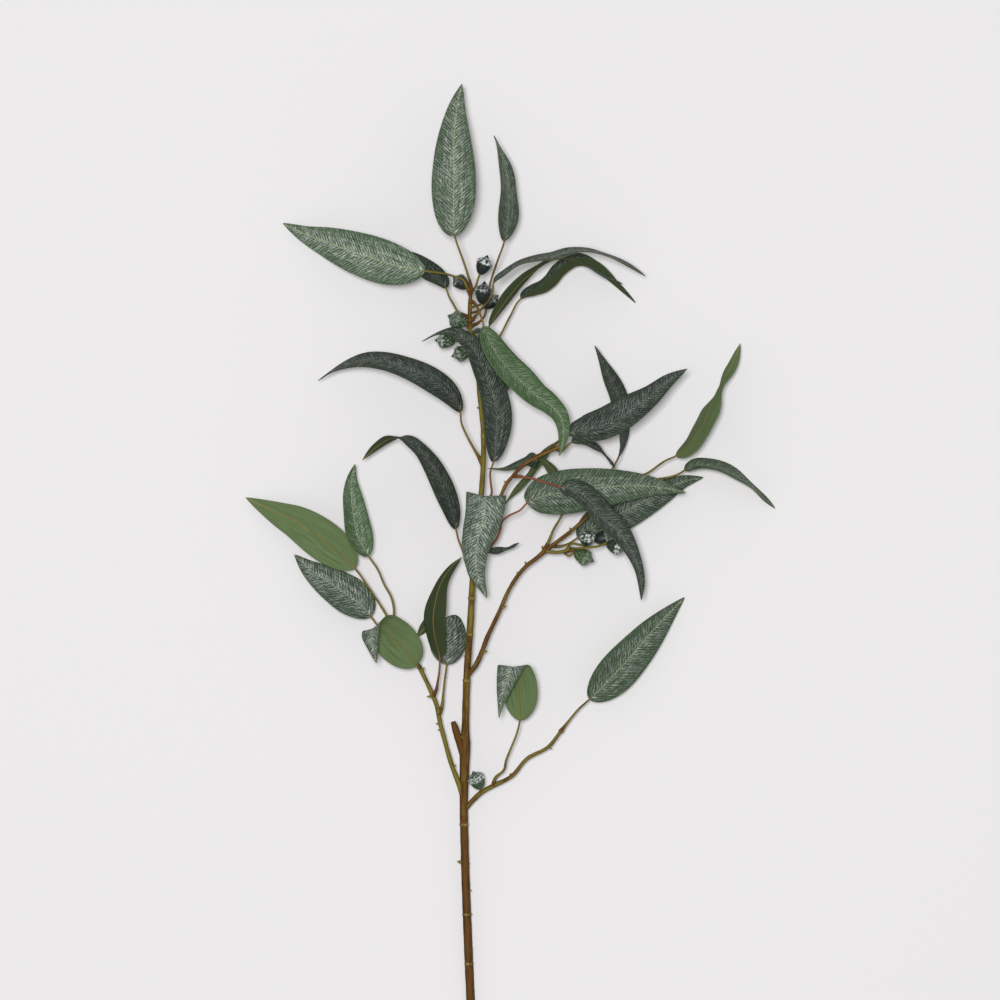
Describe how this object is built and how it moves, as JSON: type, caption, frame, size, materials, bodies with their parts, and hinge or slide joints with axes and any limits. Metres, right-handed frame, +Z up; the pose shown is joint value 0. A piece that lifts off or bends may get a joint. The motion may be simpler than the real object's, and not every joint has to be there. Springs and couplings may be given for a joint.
{
  "type": "eucalyptus branch",
  "caption": "Cut eucalyptus branch with long lance-shaped leaves, ribbed gumnuts and side branches, lying flat as a decorative stem.",
  "frame": {"origin": "middle of the box that the branch fills, on the surface it lies on", "axes": "+Y from the cut end to the top leaf, +X to the right in the picture, +Z up from the surface, toward the camera"},
  "size_m": [0.4804, 0.8902, 0.0897],
  "materials": {
    "leaf_green": "leathery leaf, dark green with pale feather veins above, plain mid green below",
    "nut_green": "ribbed gumnut, dark green with pale ridges",
    "twig_olive": "young twig, smooth olive green to brown",
    "bark_brown": "olive brown bark with pale rings"
  },
  "bodies": {
    "root": {"leaf_01": "leaf_green", "leaf_02": "leaf_green", "leaf_03": "leaf_green", "leaf_04": "leaf_green", "leaf_05": "leaf_green", "leaf_06": "leaf_green", "leaf_07": "leaf_green", "leaf_08": "leaf_green", "leaf_09": "leaf_green", "leaf_10": "leaf_green", "leaf_11": "leaf_green", "leaf_12": "leaf_green", "leaf_13": "leaf_green", "leaf_14": "leaf_green", "leaf_15": "leaf_green", "leaf_16": "leaf_green", "leaf_17": "leaf_green", "leaf_18": "leaf_green", "leaf_19": "leaf_green", "leaf_20": "leaf_green", "leaf_21": "leaf_green", "leaf_22": "leaf_green", "leaf_23": "leaf_green", "leaf_24": "leaf_green", "leaf_25": "leaf_green", "leaf_26": "leaf_green", "leaf_27": "leaf_green", "leaf_28": "leaf_green", "leaf_29": "leaf_green", "leaf_30": "leaf_green", "leaf_31": "leaf_green", "gumnut_01": "nut_green", "gumnut_02": "nut_green", "gumnut_03": "nut_green", "gumnut_04": "nut_green", "gumnut_05": "nut_green", "gumnut_06": "nut_green", "gumnut_07": "nut_green", "gumnut_08": "nut_green", "gumnut_09": "nut_green", "gumnut_10": "nut_green", "gumnut_11": "nut_green", "gumnut_12": "nut_green", "gumnut_13": "nut_green", "gumnut_14": "nut_green", "lower_left_branch": "twig_olive", "lower_right_branch": "twig_olive", "middle_right_branch": "twig_olive", "upper_right_twig": "twig_olive", "main_stem": "bark_brown"}
  },
  "joints": []
}
